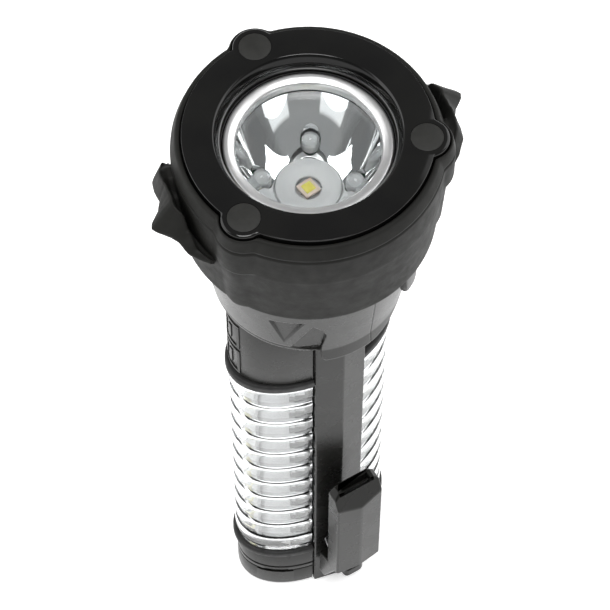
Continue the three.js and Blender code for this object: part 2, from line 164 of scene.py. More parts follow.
def table(points, value):
    """A smooth curve through (place, value) points."""
    if value <= points[0][0]:
        return points[0][1]
    for (x0, y0), (x1, y1) in zip(points, points[1:]):
        if value <= x1:
            return y0 + (y1 - y0) * smooth_step(value, x0, x1)
    return points[-1][1]


def with_modifier(obj, kind, **settings):
    """Adds a modifier and applies it to the mesh."""
    modifier = obj.modifiers.new(kind.lower(), kind)
    for key, value in settings.items():
        setattr(modifier, key, value)
    graph = bpy.context.evaluated_depsgraph_get()
    done = bpy.data.meshes.new_from_object(obj.evaluated_get(graph))
    obj.modifiers.clear()
    old, name = obj.data, obj.data.name
    obj.data = done
    bpy.data.meshes.remove(old)
    done.name = name
    return obj


def bevelled(obj, width, segments=3, limit=20):
    """Rounds every edge sharper than the limit."""
    return with_modifier(
        obj, "BEVEL", width=width * MM, segments=segments, limit_method="ANGLE",
        angle_limit=math.radians(limit), harden_normals=True, use_clamp_overlap=True,
    )


def carved(obj, *cutters):
    """Cuts the cutters out of the object, removes them and marks its sharp edges again."""
    for cutter in cutters:
        with_modifier(obj, "BOOLEAN", operation="DIFFERENCE", solver="EXACT", object=cutter)
        bpy.data.meshes.remove(cutter.data)
    obj.data.set_sharp_from_angle(angle=math.radians(CREASE))


def joined(obj, *others):
    """Moves the faces of other meshes into the object's mesh."""
    shape = bmesh.new()
    for part in (obj, *others):
        shape.from_mesh(part.data)
    shape.to_mesh(obj.data)
    shape.free()
    for part in others:
        bpy.data.meshes.remove(part.data)


def prism(name, outline, low, high):
    """A plan outline of (x, y) points raised from low to high."""
    rows = [[(x, y, z) for x, y in outline] for z in (low, high)]
    return build(name, *skin(rows, caps=True))


def box(name, x0, x1, y0, y1, z0, z1):
    return prism(name, [(x0, y0), (x1, y0), (x1, y1), (x0, y1)], z0, z1)


def bar_y(name, radius, y0, y1, x, z, segments=48):
    """A round bar that lies along Y."""
    rows = [
        [(px, y, pz) for px, pz, _ in circle(radius, 0, segments, (x, z))]
        for y in (y0, y1)
    ]
    return build(name, *skin(rows, caps=True))


def place(obj, material, body, slot, *nodes):
    """Gives a piece its material and body, and hides the CAD nodes that it stands for. The slot argument
    is not used.
    """
    obj.data.materials.clear()
    obj.data.materials.append(material)
    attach(obj, body)
    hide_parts(*nodes)


# ---- Materials ----

def principled(name, **sockets):
    """A material with its even values on the shader's own sockets."""
    material = bpy.data.materials.new(name)
    material.use_nodes = True
    shader = material.node_tree.nodes["Principled BSDF"]
    for key, value in sockets.items():
        socket = shader.inputs[key.replace("_", " ")]
        socket.default_value = value
    return material, material.node_tree, shader


def noise(tree, size, detail=3.0, stretch=(1, 1, 1)):
    """Noise whose patches are about the given size in millimetres."""
    place_node = tree.nodes.new("ShaderNodeTexCoord")
    mapping = tree.nodes.new("ShaderNodeMapping")
    mapping.inputs["Scale"].default_value = stretch
    texture = tree.nodes.new("ShaderNodeTexNoise")
    texture.inputs["Scale"].default_value = 1 / (size * MM)
    texture.inputs["Detail"].default_value = detail
    tree.links.new(place_node.outputs["Object"], mapping.inputs["Vector"])
    tree.links.new(mapping.outputs["Vector"], texture.inputs["Vector"])
    return texture.outputs["Fac"]


def ramp(tree, source, low, high, at=(0.35, 0.65)):
    """Two colours mixed by a grey value."""
    node = tree.nodes.new("ShaderNodeValToRGB")
    for element, colour, where in zip(node.color_ramp.elements, (low, high), at):
        element.color = (*colour, 1)
        element.position = where
    tree.links.new(source, node.inputs["Fac"])
    return node.outputs["Color"]


def spread(tree, source, low, high):
    """A grey value moved to the range from low to high."""
    node = tree.nodes.new("ShaderNodeMapRange")
    node.inputs["From Min"].default_value = 0.3
    node.inputs["From Max"].default_value = 0.7
    node.inputs["To Min"].default_value = low
    node.inputs["To Max"].default_value = high
    tree.links.new(source, node.inputs["Value"])
    return node.outputs["Result"]


def bump(tree, shader, source, height, strength=1.0, under=None):
    """Surface relief of the given height in millimetres."""
    node = tree.nodes.new("ShaderNodeBump")
    node.inputs["Distance"].default_value = height * MM
    node.inputs["Strength"].default_value = strength
    tree.links.new(source, node.inputs["Height"])
    if under:
        tree.links.new(under, node.inputs["Normal"])
    tree.links.new(node.outputs["Normal"], shader.inputs["Normal"])
    return node.outputs["Normal"]


def moulded(name, low, high, roughness, grain, relief, patch=9, stretch=(1, 1, 1), **sockets):
    """A moulded surface: soft colour patches, uneven gloss and a fine grain."""
    material, tree, shader = principled(name, **sockets)
    cloud = noise(tree, patch, 4, stretch)
    tree.links.new(ramp(tree, cloud, low, high), shader.inputs["Base Color"])
    tree.links.new(spread(tree, noise(tree, patch / 3, 5), *roughness), shader.inputs["Roughness"])
    wide = bump(tree, shader, noise(tree, patch / 2, 3), relief, 0.15)
    bump(tree, shader, noise(tree, grain, 2), relief, 0.6, under=wide)
    return material


def clear(name, tint, roughness, ior, relief, patch):
    """A clear moulded or ground surface with a faint unevenness."""
    material, tree, shader = principled(
        name, Base_Color=(*tint, 1), Transmission_Weight=1.0, IOR=ior, Specular_IOR_Level=0.5,
    )
    cloud = noise(tree, patch, 3)
    tree.links.new(spread(tree, cloud, *roughness), shader.inputs["Roughness"])
    bump(tree, shader, cloud, relief, 0.4)
    return material


def grey(value, warm=0.0):
    return value * (1 + warm), value * (1 + warm), value * (1 - warm)


def make_materials():
    return {
        "rubber": moulded(
            "textured_rubber", grey(0.010, 0.05), grey(0.014, 0.05), (0.50, 0.62), 0.30, 0.04,
            Specular_IOR_Level=0.13,
        ),
        "gloss": moulded(
            "gloss_black", grey(0.003), grey(0.005, 0.05), (0.05, 0.10), 1.4, 0.002, 14,
            Specular_IOR_Level=0.4,
        ),
        "magnet": moulded(
            "magnet_cover", grey(0.013, 0.05), grey(0.018, 0.05), (0.5, 0.6), 0.25, 0.02, 3,
            Specular_IOR_Level=0.3,
        ),
        "satin": moulded(
            "satin_plastic", grey(0.009, 0.05), grey(0.012, 0.05), (0.24, 0.31), 0.3, 0.002, 24,
            Specular_IOR_Level=0.19,
        ),
        "seal": moulded("seal_rubber", grey(0.006), grey(0.010), (0.5, 0.7), 0.6, 0.02, 5),
        "dark": moulded("housing_plastic", grey(0.02), grey(0.03), (0.45, 0.6), 0.5, 0.02, 8),
        "white": moulded("white_plastic", grey(0.70), grey(0.76), (0.35, 0.5), 0.8, 0.01, 10),
        "chrome": moulded(
            "bright_chrome", (0.90, 0.91, 0.92), (0.94, 0.94, 0.94), (0.02, 0.05), 6, 0.001, 10,
            Metallic=1.0,
        ),
        "rim": moulded(
            "satin_chrome", (0.92, 0.92, 0.92), (0.96, 0.96, 0.96), (0.28, 0.36), 2, 0.002, 8,
            Metallic=1.0,
        ),
        "steel": moulded(
            "brushed_steel", (0.52, 0.53, 0.54), (0.66, 0.66, 0.67), (0.2, 0.36), 0.2, 0.008, 3,
            (1, 1, 12), Metallic=1.0,
        ),
        "aluminium": moulded(
            "machined_aluminium", (0.56, 0.57, 0.59), (0.70, 0.71, 0.72), (0.25, 0.4), 0.3, 0.01,
            4, (1, 1, 8), Metallic=1.0,
        ),
        "copper": moulded(
            "bright_copper", (0.70, 0.42, 0.22), (0.80, 0.52, 0.30), (0.2, 0.4), 0.4, 0.01, 4,
            Metallic=1.0,
        ),
        "board": moulded(
            "circuit_board", (0.02, 0.11, 0.05), (0.04, 0.17, 0.08), (0.25, 0.4), 0.6, 0.02, 2.5,
        ),
        "cell": moulded(
            "cell_wrap", (0.05, 0.055, 0.06), (0.10, 0.11, 0.12), (0.2, 0.35), 1.5, 0.01, 10,
            (1, 1, 0.2), Metallic=0.6,
        ),
        "wire_red": moulded("wire_red", (0.35, 0.01, 0.01), (0.5, 0.02, 0.02), (0.3, 0.5), 1, 0.02, 3),
        "wire_black": moulded("wire_black", grey(0.008), grey(0.014), (0.3, 0.5), 1, 0.02, 3),
        "package": moulded(
            "led_package", (0.78, 0.62, 0.52), (0.86, 0.72, 0.62), (0.3, 0.45), 0.5, 0.01, 1.5,
        ),
        "phosphor": moulded(
            "led_phosphor", (0.90, 0.78, 0.10), (0.95, 0.86, 0.22), (0.25, 0.4), 0.15, 0.01, 0.8,
        ),
        "phosphor_pale": moulded(
            "lamp_chip", (0.88, 0.84, 0.55), (0.92, 0.89, 0.66), (0.3, 0.45), 0.3, 0.01, 1.2,
        ),
        "cup": moulded("lamp_cup", grey(0.80), grey(0.90), (0.2, 0.3), 0.4, 0.005, 1.5),
        # The flange's dark grey is painted shade: the flange is white plastic, darkened here for the
        # shadow on its inward wall.
        "flange": moulded("painted_shade_flange", grey(0.09), grey(0.13), (0.3, 0.45), 0.8, 0.02, 4),
        "glass": clear("lens_glass", (0.98, 1.0, 1.0), (0.0, 0.01), 1.5, 0.001, 12),
        "plastic_clear": clear("clear_plastic", (0.97, 0.985, 0.99), (0.01, 0.05), 1.46, 0.01, 4),
        "floor": moulded(
            "studio_floor", grey(0.90), grey(0.93), (0.6, 0.7), 20, 0.02, 200,
            Emission_Color=(1, 1, 1, 1), Emission_Strength=0.55,
        ),
    }


# ---- Head ----

def lobed(base, lug, z, blend=0.9):
    """A round outline with the three lugs standing out of it."""
    row = []
    for i in range(LOBED_STEPS):
        degrees = i * 360 / LOBED_STEPS
        radius = base
        for at in LUG_ANGLES:
            delta = math.radians(degrees - at)
            side = LUG_CIRCLE * math.sin(delta)
            if lug > abs(side) and math.cos(delta) > 0:
                reach = LUG_CIRCLE * math.cos(delta) + math.sqrt(lug * lug - side * side)
                overlap = max(blend - abs(reach - radius), 0) / blend
                radius = max(reach, radius) + overlap * overlap * blend / 4
        row.append((*polar(radius, degrees), z))
    return row


def lobed_solid(name, corners, steps=4):
    """A closed profile of (radius, z, radius less lug radius, rounding) corners."""
    line = rounded(corners, steps)
    rows = [lobed(base, base - drop, z) for base, z, drop in line]
    return build(name, *skin(rows, wrap=True), turn=HEAD_TURN)


def lug_discs(name, radius, low, high, bevel=0.0, segments=72):
    """One round column at each lug."""
    discs = []
    for i, angle in enumerate(LUG_ANGLES):
        centre = polar(LUG_CIRCLE, angle)
        rows = [[(*centre, low)], circle(radius, low, segments, centre)]
        if bevel:
            rows.append(circle(radius, high - bevel, segments, centre))
            rows.append(circle(radius - bevel * 0.3, high - bevel * 0.3, segments, centre))
        rows.append(circle(radius - bevel, high, segments, centre))
        rows.append([(*centre, high)])
        discs.append(build(f"{name}_{i + 1}", *skin(rows), turn=HEAD_TURN))
    return discs


def make_collar(mats):
    """A rubber tyre with a chamfered shoulder and three round bosses that shrink downward."""
    bore, foot, wall = 31.2, 33.6, 35.0
    seat = PLATE_LOW - 0.3
    crown = COLLAR_TOP + 0.2
    collar = lobed_solid("collar_skin", [
        (bore, COLLAR_LOW, 60, 0),
        (foot, COLLAR_LOW, 28.6, 1.4),
        (wall - 0.1, FACE - 16.4, 28.9, 0.5),
        (wall, FACE - 15.4, 27.5, 0.9),
        (wall, FACE - 6.2, 27.5, 0.3),
        (wall - 0.4, FACE - 5.6, 27.5, 0.3),
        (wall - 0.1, FACE - 4.9, 27.5, 0.4),
        (wall - 1.3, crown - 0.3, 27.0, 0.8),
        (wall - 2.0, crown, 26.6, 0.4),
        (wall - 2.6, crown - 0.2, 26.3, 0.3),
        (wall - 2.65, seat, 26.3, 0),
        (bore, seat, 60, 0),
    ])
    place(collar, mats["rubber"], "torch", "rubber", "collar")


def make_bezel(mats):
    """A glossy plate with three ears, a flared mouth and a pocket for each magnet."""
    rim, ear_drop, hole, lip = 32.0, 26.2, 22.2, 23.9
    plate = lobed_solid("bezel_skin", [
        (hole, PLATE_LOW, 60, 0),
        (rim, PLATE_LOW, ear_drop, 0),
        (rim, FACE, ear_drop, 0.8),
        (lip, FACE, 60, 1.2),
        (hole + 0.2, FACE - 2.6, 60, 0.8),
        (hole, FACE - 4.6, 60, 0.3),
    ], steps=6)
    carved(plate, *lug_discs("pocket", 4.25, FACE - 4.4, FACE + 1))
    place(plate, mats["gloss"], "torch", "gloss_black", "bezel_plate")
    for i, disc in enumerate(lug_discs("magnet_disc", 4.2, FACE - 4.1, FACE, 0.15)):
        place(disc, mats["magnet"], "torch", "magnet", f"magnet_{i + 1}")


MIRROR_MOUTH, MIRROR_MOUTH_Z, MIRROR_THROAT, MIRROR_THROAT_Z = 19.2, 220.9, 8.7, 205.2
MIRROR_SLOPE = (MIRROR_MOUTH_Z - MIRROR_THROAT_Z) / (MIRROR_MOUTH ** 2 - MIRROR_THROAT ** 2)
AUX_CIRCLE, AUX_ANGLES = 12.0, (60, 150, 240, 330)


def mirror_height(radius):
    """The height of the mirror's paraboloid at a radius."""
    return MIRROR_THROAT_Z + MIRROR_SLOPE * (radius ** 2 - MIRROR_THROAT ** 2)


def column(name, radius, low, high, x, y, segments=48):
    rows = [circle(radius, z, segments, (x, y)) for z in (low, high)]
    return build(name, *skin(rows, caps=True), turn=HEAD_TURN)


def exact_mirror_normals(obj):
    """Sets the paraboloid's true normals, so that its reflections stay smooth round the holes."""
    mesh = obj.data
    normals = [None] * len(mesh.loops)
    for face in mesh.polygons:
        for loop in face.loop_indices:
            point = mesh.vertices[mesh.loops[loop].vertex_index].co / MM
            radius = math.hypot(point.x, point.y)
            normal = face.normal
            if abs(point.z - mirror_height(radius)) < 0.02:
                slope = 2 * MIRROR_SLOPE
                exact = Vector((-slope * point.x, -slope * point.y, 1)).normalized()
                if exact.dot(face.normal) > 0.9:
                    normal = exact
            normals[loop] = normal
    mesh.normals_split_custom_set(normals)


def make_reflector(mats):
    """A mirror bowl with a rolled lip and four lamp holes."""
    wall, steps = 1.1, 40
    reach = MIRROR_MOUTH - MIRROR_THROAT
    radii = [MIRROR_THROAT + reach * i / steps for i in range(steps + 1)]
    inner = [(r, mirror_height(r)) for r in radii]
    outer = [(r + wall, mirror_height(r) - 0.4) for r in reversed(radii)]
    lip = [(20.3, MIRROR_MOUTH_Z)]
    rows = [circle(r, z, 240) for r, z in inner + lip + outer]
    bowl = build("reflector_bowl", *skin(rows, wrap=True), turn=HEAD_TURN)
    holes = [
        column(f"hole_{i}", 2.7, MIRROR_THROAT_Z - 4, MIRROR_MOUTH_Z, *polar(AUX_CIRCLE, angle))
        for i, angle in enumerate(AUX_ANGLES)
    ]
    carved(bowl, *holes)
    exact_mirror_normals(bowl)
    place(bowl, mats["chrome"], "torch", "chrome", "reflector")


def make_front_glass(mats):
    """The bright retaining ring and the flat lens."""
    rim = build("chrome_rim", *turned([
        (18.6, 223.0, 0), (21.8, 223.0, 0), (21.8, 226.1, 0.7), (20.6, 226.3, 0.6),
        (18.9, 225.7, 0.5), (18.6, 225.1, 0.3),
    ], 240), turn=HEAD_TURN)
    place(rim, mats["rim"], "torch", "chrome", "chrome_ring")
    glass = build("lens_disc", *skin([
        [(0, 0, 221.35)], circle(21.3, 221.35), circle(21.5, 221.5), circle(21.5, 222.5),
        circle(21.3, 222.65), [(0, 0, 222.65)],
    ]), turn=HEAD_TURN)
    place(glass, mats["glass"], "torch", "lens_glass", "lens")


def make_lamps(mats):
    """The main lamp on its white ring, and four small domes with a cup in each."""
    seat, bore, rim = 204.2, 3.5, 8.62
    ring = build("lamp_ring", *turned([
        (bore, seat, 0), (rim, seat, 0), (rim, 205.6, 0.3), (6.5, 205.9, 0.8), (bore, 204.9, 0.3),
    ], 120), turn=HEAD_TURN)
    place(ring, mats["white"], "torch", "white_plastic", "led_ring")
    half, chip_half, lamp_turn = 2.3, 1.45, 6
    package = bevelled(box("lamp_package", -half, half, -half, half, seat, seat + 0.9), 0.12)
    chip = bevelled(box(
        "lamp_chip", -chip_half, chip_half, -chip_half, chip_half, seat + 0.85, seat + 1.15), 0.2)
    for part in (package, chip):
        part.data.transform(Matrix.Rotation(math.radians(lamp_turn), 4, "Z"))
    place(package, mats["package"], "torch", "emitter", "main_led")
    place(chip, mats["phosphor"], "torch", "emitter")
    foot, shoulder, rise, radius, steps = 201.6, 208.6, 2.6, 2.5, 10
    for i, angle in enumerate(AUX_ANGLES):
        centre = polar(AUX_CIRCLE, angle)
        rows = [[(*centre, foot)], circle(radius, foot, 48, centre)]
        for step in range(steps):
            tilt = step * math.pi / 2 / steps
            height = shoulder + rise * math.sin(tilt)
            rows.append(circle(radius * math.cos(tilt), height, 48, centre))
        rows.append([(*centre, shoulder + rise)])
        cup = build(f"aux_cup_{i + 1}", *skin([
            [(*centre, 206.5)], circle(2.3, 206.5, 36, centre), circle(2.4, 208.8, 36, centre),
            circle(2.0, 209.2, 36, centre), circle(1.3, 208.5, 36, centre), [(*centre, 208.3)],
        ]), turn=HEAD_TURN)
        place(cup, mats["cup"], "torch", "emitter")
        dome = build(f"aux_dome_{i + 1}", *skin(rows), turn=HEAD_TURN)
        place(dome, mats["plastic_clear"], "torch", "clear_plastic", f"aux_led_{i + 1}")


# A striker by the angle from its spike: its plan outline, then how far below the bezel's face
# its crest, its outer edge and the valley behind the crest lie, and last how far out the crest
# stands as a share of the wing's reach.
STRIKER_PLAN = [
    (-27, 36.2), (-23, 38.8), (-18, 40.3), (-14, 40.3), (-9, 39.7), (-5, 41.2), (-1.6, 44.0),
    (0, 44.6), (1.6, 44.0), (5, 41.8), (10, 40.2), (16, 38.4), (20, 36.8),
]
STRIKER_CREST = [
    (-27, 13.0), (-22, 8.5), (-16, 6.2), (-10, 5.0), (-3, 5.2), (4, 6.5), (9, 11.0), (14, 16.0),
    (20, 17.4),
]
STRIKER_EDGE = [
    (-27, 17.0), (-20, 13.0), (-8, 12.5), (0, 12.7), (8, 13.0), (13, 17.0), (20, 18.5),
]
STRIKER_VALLEY = [(-27, 14.0), (-20, 8.2), (-14, 7.4), (-8, 11.0), (0, 18.0), (20, 19.0)]
STRIKER_SHOULDER = [
    (-27, 0.5), (-18, 0.6), (-10, 0.62), (-3, 0.32), (5, 0.3), (14, 0.5), (20, 0.6),
]


def straight(points, value):
    """A straight-sided line through (place, value) points."""
    for (x0, y0), (x1, y1) in zip(points, points[1:]):
        if value <= x1:
            return y0 + (y1 - y0) * max(value - x0, 0) / (x1 - x0)
    return points[-1][1]


def striker_row(angle):
    """The section of a striker at one angle from its spike."""
    root, wall = 35.2, 34.6
    outer = straight(STRIKER_PLAN, angle)
    proud = outer - root
    crest = FACE - table(STRIKER_CREST, angle)
    edge = min(FACE - table(STRIKER_EDGE, angle), crest - 0.8)
    ledge = min(FACE - table(STRIKER_VALLEY, angle), crest - 0.6)
    middle = root + straight(STRIKER_SHOULDER, angle) * proud
    depth = 2.5 + 7.5 * (1 - smooth_step(angle, 8, 20))
    low = edge - depth
    section = [
        (wall, low, 0), (wall, ledge, 0), (root + (middle - root) * 0.35, ledge, 0.4),
        (middle - 0.25 * (middle - root), crest - 0.7, 0.9), (middle, crest, 1.0),
        (outer, edge, 0.8), (root + 0.75 * proud, edge - 0.3 * depth, 1.0),
        (root + 0.25 * proud, edge - 0.7 * depth, 1.5),
    ]
    return [(*polar(p[0], angle), p[1]) for p in rounded(section, 4)]


def make_striker(name, node, turn, mats):
    """A spiked rubber wing that stands off the collar with a valley behind its crest."""
    steps, first, last = 94, STRIKER_PLAN[0][0], STRIKER_PLAN[-1][0]
    angles = [first + (last - first) * i / steps for i in range(steps + 1)]
    rows = [striker_row(angle) for angle in angles]
    wing = build(name, *skin(rows, caps=True), turn=turn + HEAD_TURN, crease=50)
    bosses = lug_discs("boss_cut", 7.7, 190, FACE)
    carved(wing, *bosses)
    place(wing, mats["rubber"], "torch", "rubber", node)


# ---- Neck ----

NECK_LOW, NECK_TOP = 165.7, levels("neck")[1]
TONGUE_LOW = 159.3
TONGUE_LEFT = -113.4
# Corners of each recess as (degrees, z), then the depth that grows toward the tongue, its share
# of the cone's slope, and the width of its soft edge.
RECESSES = [
    (((-142.3, 183.8), (-134.9, 170.2), (-122.7, 185.5)), 0.4, 0.4, 0.6),
    (((-131.6, 168.0), (TONGUE_LEFT, 166.6), (-112.0, 171.5), (-110.6, 175.7), (-113.2, 179.8),
      (-118.6, 183.0)), 0.5, 0.4, 0.5),
]


def neck_radius(z):
    low, high = 26.2, 30.6
    return low + (high - low) * max(z - NECK_LOW, 0) / (NECK_TOP - NECK_LOW)


def neck_edge(degrees):
    """Height of the neck's lower edge: the tongue hangs over the front spine."""
    drop = NECK_LOW - TONGUE_LOW
    corner = 4.5
    if degrees < TONGUE_LEFT or degrees > -38:
        return NECK_LOW
    if degrees < TONGUE_LEFT + corner:
        t = (TONGUE_LEFT + corner - degrees) / corner
        return TONGUE_LOW + 3.0 * (1 - math.sqrt(max(1 - t * t, 0)))
    return NECK_LOW - drop * (1 - smooth_step(degrees, -84, -40))


def inside_share(degrees, z, corners, soft):
    """How far inside a recess a point of the neck's wall is, up to 1 at the soft distance."""
    inside = 1.0
    scale = math.radians(28.0)
    for (a0, z0), (a1, z1) in zip(corners, corners[1:] + corners[:1]):
        edge = Vector(((a1 - a0) * scale, z1 - z0))
        away = Vector(((degrees - a0) * scale, z - z0))
        inside = min(inside, smooth_step(edge.cross(away) / edge.length, 0, soft))
    return inside


def neck_offset(degrees, z):
    """Relief on the neck's outside, in millimetres inward."""
    depth = 0.0
    for corners, sink, share, soft in RECESSES:
        tip = min(corner[1] for corner in corners)
        side_fall = smooth_step(degrees, corners[0][0] + 4, TONGUE_LEFT)
        floor = (neck_radius(z) - neck_radius(tip)) * share + sink * (0.4 + side_fall)
        depth = max(depth, floor * inside_share(degrees, z, corners, soft))
    crease = abs(degrees + 83.2 + (z - 176) * 0.13)
    depth += 0.16 * (1 - smooth_step(crease, 0, 0.7))
    flange = abs(z - NECK_LOW - 2.2)
    if degrees < TONGUE_LEFT - 2 or degrees > -40:
        depth += 0.12 * (1 - smooth_step(flange, 0.1, 0.5))
    return depth


def make_neck(mats):
    """A round cone with a hanging tongue, triangular recesses and a thin crease."""
    first, step, count = -153.0, 0.25, 300
    fine = [first + step * i for i in range(count)]
    coarse = [fine[-1] + (360 - step * count) * (i + 1) / 120 for i in range(119)]
    heights = 96
    rows = []
    for degrees in fine + coarse:
        low = neck_edge(degrees)
        wall = []
        for i in range(heights + 1):
            z = low + (NECK_TOP - low) * i / heights
            edge = 0.6 * max(1 - (z - low) / 0.9, 0) ** 2
            radius = neck_radius(z) - neck_offset(degrees, z) - edge
            wall.append((*polar(radius, degrees), z))
        inner = [(*polar(neck_radius(z) - 2.6, degrees), z) for z in (NECK_TOP, low)]
        rows.append(wall + inner)
    neck = build("neck_cone", *skin(rows, wrap=True), crease=40)
    tab = make_neck_tab()
    joined(neck, tab)
    place(neck, mats["satin"], "torch", "satin_plastic", "neck")


def make_neck_tab():
    """A small rounded tab that hangs below the collar at the right."""
    rows = []
    for step in range(25):
        degrees = -66.5 + 10 * step / 24
        side = abs(step - 12) / 12
        low = 181.0 + 4.0 * (1 - math.sqrt(max(1 - side ** 4, 0)))
        section = [(29.4, low, 0), (30.6, low, 0.6), (31.4, low + 1.4, 0.8), (31.4, 194.0, 0),
                   (29.4, 194.0, 0)]
        rows.append([(*polar(p[0], degrees), p[1]) for p in rounded(section, 3)])
    return build("neck_tab", *skin(rows, caps=True))


# ---- Body ----

def channel_oval(a, b, z, inset=0.0, channel=True):
    """An oval outline with the two spine channels cut into it, of always the same point count."""
    a, b = a - inset, b - inset
    depth = 13.9 - inset * 0.3
    row = []
    for sign in (1, -1):
        edge = CHANNEL_HALF + sign * OFFSET
        start = math.acos(edge / a)
        arc = OVAL_STEPS // 2
        angles = [-start + 2 * start * i / arc for i in range(arc + 1)]
        side = [(sign * a * math.cos(t), sign * b * math.sin(t), z) for t in angles]
        corner = min(depth, b * math.sin(start)) if channel else b * math.sin(start + 0.01)
        first = (sign * edge, -sign * corner, z)
        last = (sign * edge, sign * corner, z)
        row += [first] + side + [last]
    return row


def sleeve_ring(name, a, b, levels_and_insets, wall):
    """A channelled oval tube through (z, inset) levels."""
    rows = [channel_oval(a, b, z, inset) for z, inset in levels_and_insets]
    low, high = levels_and_insets[0][0], levels_and_insets[-1][0]
    rows += [channel_oval(a, b, z, wall, channel=False) for z in (high, low)]
    return build(name, *skin(rows, wrap=True))


def edge_levels(low, high, reach, between=()):
    """Heights and insets that round both ends of a tube."""
    steps = 4
    bottom = []
    for i in range(steps + 1):
        tilt = i * math.pi / 2 / steps
        bottom.append((low + reach * (1 - math.cos(tilt)), reach * (1 - math.sin(tilt))))
    top = [(high - (z - low), inset) for z, inset in reversed(bottom)]
    return bottom + list(between) + top


MARK_LEVELS = (133.5, 147.0)


def make_sleeve(mats):
    """The black upper sleeve and its two gaskets."""
    sleeve = sleeve_ring(
        "sleeve_shell", *SLEEVE_OVAL, edge_levels(SLEEVE_LOW, SLEEVE_TOP, 0.4), 2.2)
    stem_hole = bar_y("stem_hole", 2.0, 10, 20, 0, BUTTON_LEVEL)
    shifted(stem_hole)
    carved(sleeve, stem_hole)
    marks = []
    for low in MARK_LEVELS:
        marks += pictogram(low, 24.32, 15.02)
    joined(sleeve, *marks)
    place(sleeve, mats["satin"], "torch", "satin_plastic", "upper_sleeve")
    for node in ("upper_gasket", "lower_gasket"):
        low, high = levels(node)
        band = sleeve_ring(f"{node}_band", *BAND_OVAL, edge_levels(low, high, 0.9), 4)
        place(band, mats["seal"], "torch", "seal", node)


def pictogram(low, a, b):
    """A raised square frame with two plain bars in it, on the sleeve's left side."""
    size, line, proud = 12.0, 1.0, 0.28
    first = 153.0
    shapes = [
        (0, size, 0, line), (0, size, size - line, size), (0, line, line, size - line),
        (size - line, size, line, size - line), (3, 4.6, 2.8, 9.2), (6.6, 8.2, 2.8, 9.2),
    ]
    parts = []
    for i, (u0, u1, v0, v1) in enumerate(shapes):
        rows = []
        for step in range(13):
            u = u0 + (u1 - u0) * step / 12
            t = math.radians(first) + u / 17.5
            inner = (a * math.cos(t), b * math.sin(t))
            outer = ((a + proud) * math.cos(t), (b + proud) * math.sin(t))
            rows.append([
                (*inner, low + v0), (*outer, low + v0 + 0.08), (*outer, low + v1 - 0.08),
                (*inner, low + v1),
            ])
        parts.append(build(f"mark_{low}_{i}", *skin(rows, caps=True)))
    return parts


RIBS = 11
RIB_PITCH = (WINDOW_TOP - WINDOW_LOW) / RIBS


def window_profile(t, sign, a, b):
    """One upright section through a ribbed window at an angle round the oval."""
    relief, wall = 0.75, 2.4
    shape = ((0.0, 1.0), (0.30, 0.96), (0.345, 0.5), (0.37, 0.16), (0.42, 0.03), (0.55, 0.0),
             (0.75, 0.02), (0.93, 0.12), (0.965, 0.3), (0.985, 0.7))
    line = []
    for i in range(RIBS):
        for share, depth in shape:
            line.append((relief * depth, WINDOW_LOW + (i + share) * RIB_PITCH))
    section = line + [(relief, WINDOW_TOP), (wall, WINDOW_TOP), (wall, WINDOW_LOW)]
    cos, sin = math.cos(t), math.sin(t)
    return [(sign * (a - inset) * cos, (b - inset) * sin, z) for inset, z in section]


def make_windows(mats):
    """Two clear ribbed covers, each with its white liner and strip of small lamps."""
    a, b = WINDOW_OVAL
    for side, sign in (("left", -1), ("right", 1)):
        start = math.acos((CHANNEL_HALF + 0.2 + sign * OFFSET) / a)
        steps = 96
        angles = [-start + 2 * start * i / steps for i in range(steps + 1)]
        rows = [window_profile(t, sign, a, b) for t in angles]
        cover = build(f"cover_{side}", *skin(rows, caps=True), crease=30)
        place(cover, mats["plastic_clear"], "torch", "clear_plastic", f"window_{side}")
        make_liner(side, sign, mats)
        make_strip(side, sign, mats)


def curved_slab(name, side, face, span, levels_, back, front):
    """Part of an oval shell between two distances from the middle, on the front or the back."""
    (x0, x1), (low, high) = span, levels_
    start, end = math.acos(x1 / front[0]), math.acos(x0 / front[0])
    rows = []
    for step in range(13):
        t = start + (end - start) * step / 12
        cos, sin = side * math.cos(t), face * math.sin(t)
        corners = [(*back, low), (*front, low), (*front, high), (*back, high)]
        rows.append([(a * cos, b * sin, z) for a, b, z in corners])
    return build(name, *skin(rows, caps=True))


def make_liner(name, side, mats):
    """A white liner with a castellated edge and a pale block for each rib, and a white plastic flange
    painted dark grey as the shade on its inward wall.
    """
    low, high = WINDOW_LOW + 1, WINDOW_TOP - 1
    outer, wall = LINER_OVAL, 0.8
    seam = CHANNEL_HALF + 0.4 + side * OFFSET
    edge = seam + 4.9
    start = math.acos(edge / outer[0])
    rows = []
    for step in range(61):
        t = -start + 2 * start * step / 60
        cos, sin = math.cos(t), math.sin(t)
        inner = (side * (outer[0] - wall) * cos, (outer[1] - wall) * sin)
        skin_point = (side * outer[0] * cos, outer[1] * sin)
        rows.append([(*inner, low), (*skin_point, low), (*skin_point, high), (*inner, high)])
    liner = build(f"liner_{name}", *skin(rows, caps=True))
    flanges, teeth = [], []
    for face in (-1, 1):
        flanges.append(curved_slab(
            f"flange_{name}_{face}", side, face, (seam, edge - 0.1), (low, high),
            (17.0, 12.0), (17.8, 12.9)))
        for i in range(RIBS):
            base = WINDOW_LOW + (i + 0.32) * RIB_PITCH
            teeth.append(curved_slab(
                f"tooth_{name}_{face}_{i}", side, face, (edge - 1.4, edge), (base, base + 5.6),
                (17.2, 12.3), LINER_OVAL))
            teeth.append(curved_slab(
                f"block_{name}_{face}_{i}", side, face, (seam + 1.0, seam + 3.4),
                (base + 0.5, base + 5.0), (17.8, 12.8), (18.0, 13.1)))
    joined(liner, *teeth)
    place(liner, mats["white"], "torch", "white_plastic", f"side_reflector_{name}")
    # The flanges take the grey painted shade, though they are white plastic.
    joined(flanges[0], flanges[1])
    place(flanges[0], mats["flange"], "torch", "white_plastic")


